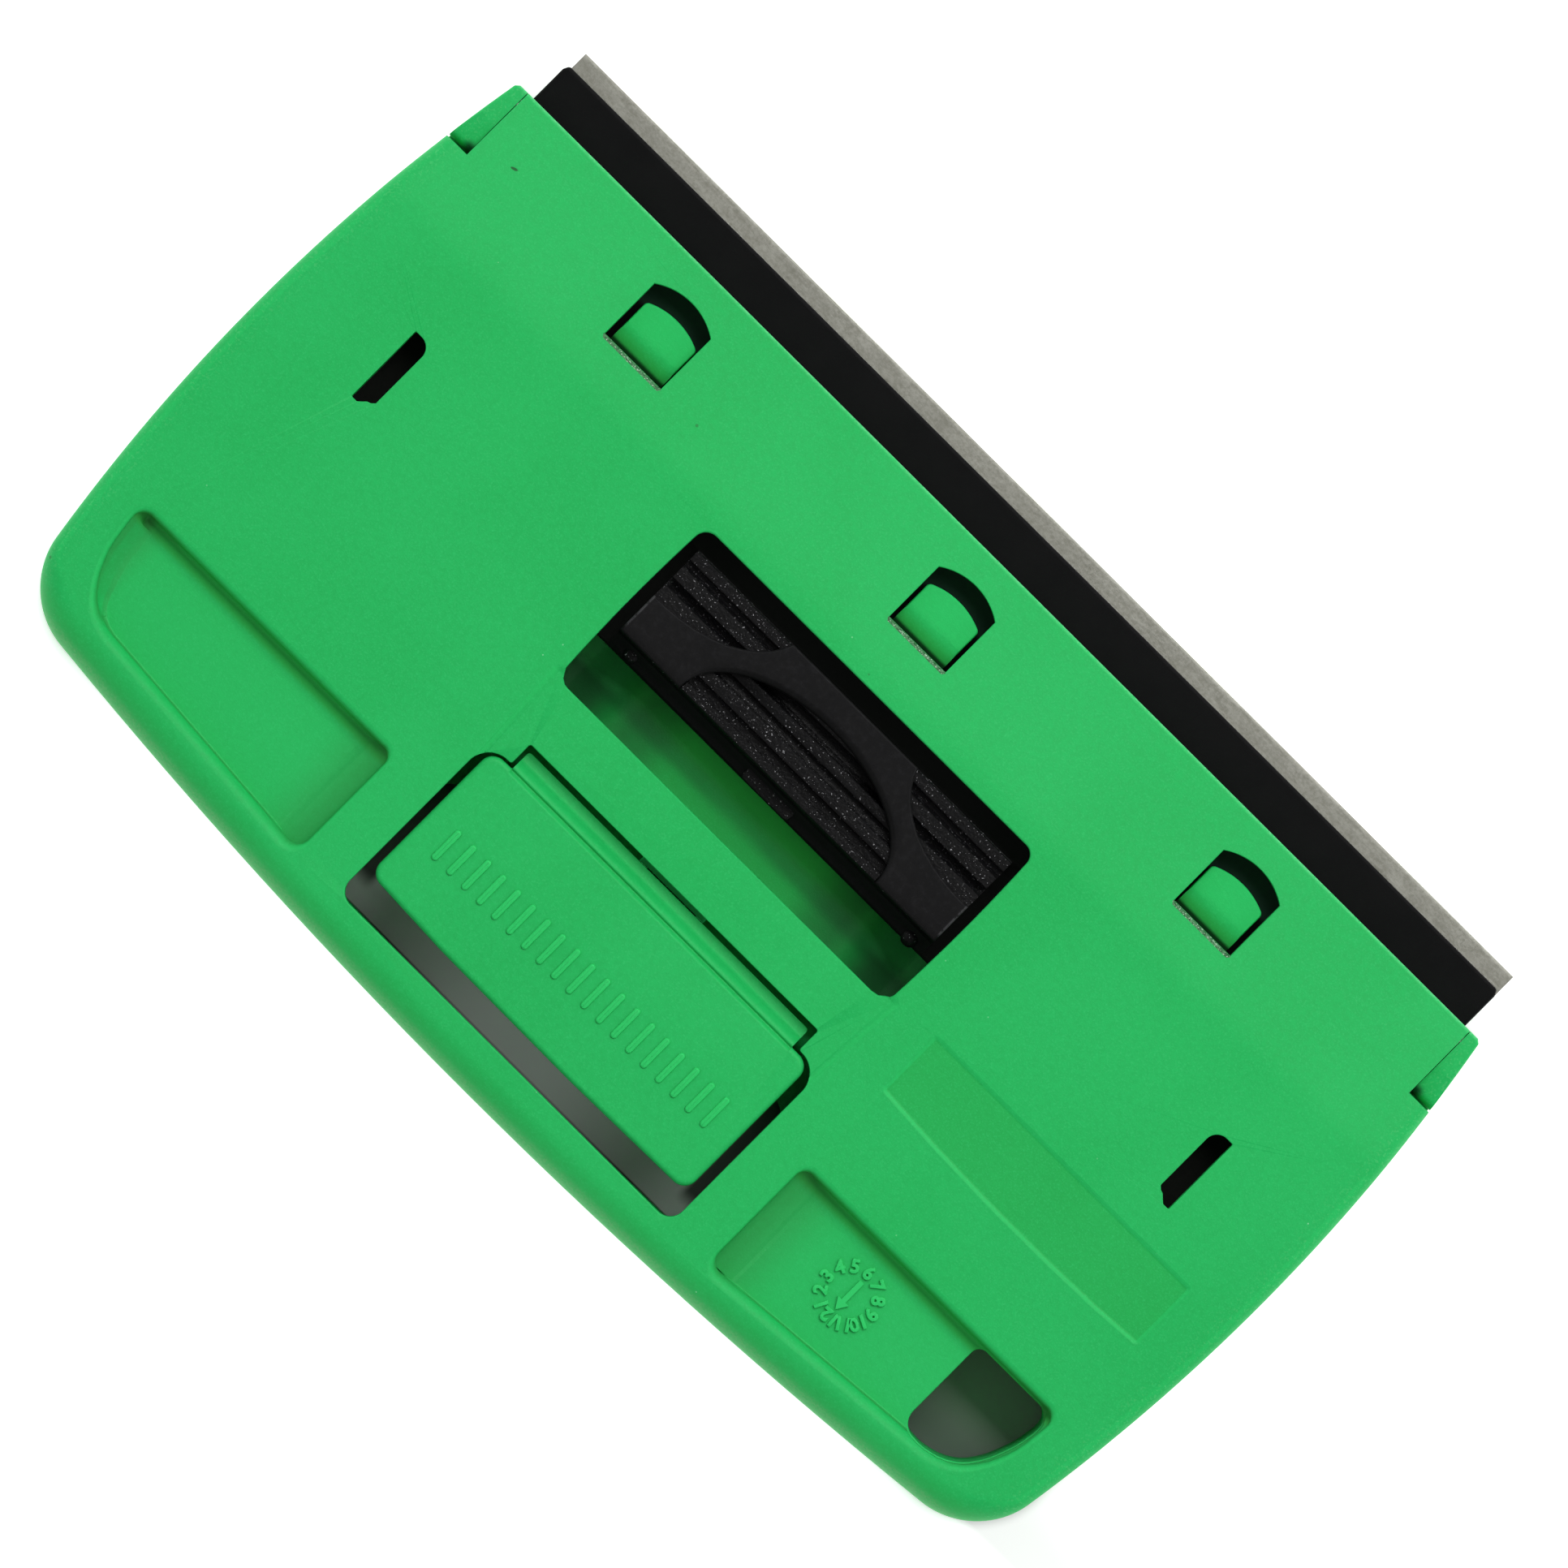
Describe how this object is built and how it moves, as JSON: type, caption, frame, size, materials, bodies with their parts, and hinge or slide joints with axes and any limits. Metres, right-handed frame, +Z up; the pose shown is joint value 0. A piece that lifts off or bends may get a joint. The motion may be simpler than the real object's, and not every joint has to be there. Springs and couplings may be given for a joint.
{
  "type": "hand scraper",
  "caption": "Flat clamshell hand scraper with a sliding wide blade, a ribbed thumb slider, a sprung push flap that frees the hinged cover, and a hanging hole.",
  "frame": {"origin": "on the underside plane, in the middle of the bounding box", "axes": "+X to the right along the blade, +Y towards the cutting edge, +Z up out of the thumb side"},
  "size_m": [0.108, 0.0627, 0.011],
  "materials": {
    "green_plastic": "fine moulded texture, low sheen",
    "black_plastic": "smooth band and sparkling eroded ribs",
    "blade_steel": "fine rolled grain, ground edge",
    "pin_steel": "drawn wire"
  },
  "bodies": {
    "lower_case": {"bottom_shell": "green_plastic", "hinge_pin_left": "pin_steel", "hinge_pin_right": "pin_steel"},
    "cover": {"top_shell": "green_plastic", "flap_pin": "pin_steel"},
    "carriage": {"blade_carrier": "black_plastic", "thumb_pad": "black_plastic", "blade": "blade_steel"},
    "push_flap": {"release_flap": "green_plastic", "flap_spring": "pin_steel"}
  },
  "joints": [
    {"name": "carriage_slide", "type": "slide", "parent": "lower_case", "child": "carriage", "axis": [0, 1, 0], "range_m": [-0.0055, 0]},
    {"name": "cover_hinge", "type": "hinge", "parent": "lower_case", "child": "cover", "pos_m": [0, 0.0248, 0.0083], "axis": [1, 0, 0], "range_deg": [-90, 0]},
    {"name": "flap_press", "type": "hinge", "parent": "cover", "child": "push_flap", "pos_m": [0, -0.01, 0.0071], "axis": [1, 0, 0], "range_deg": [0, 12], "stiffness_Nm_per_rad": 0.15, "springref_deg": -5.73}
  ]
}
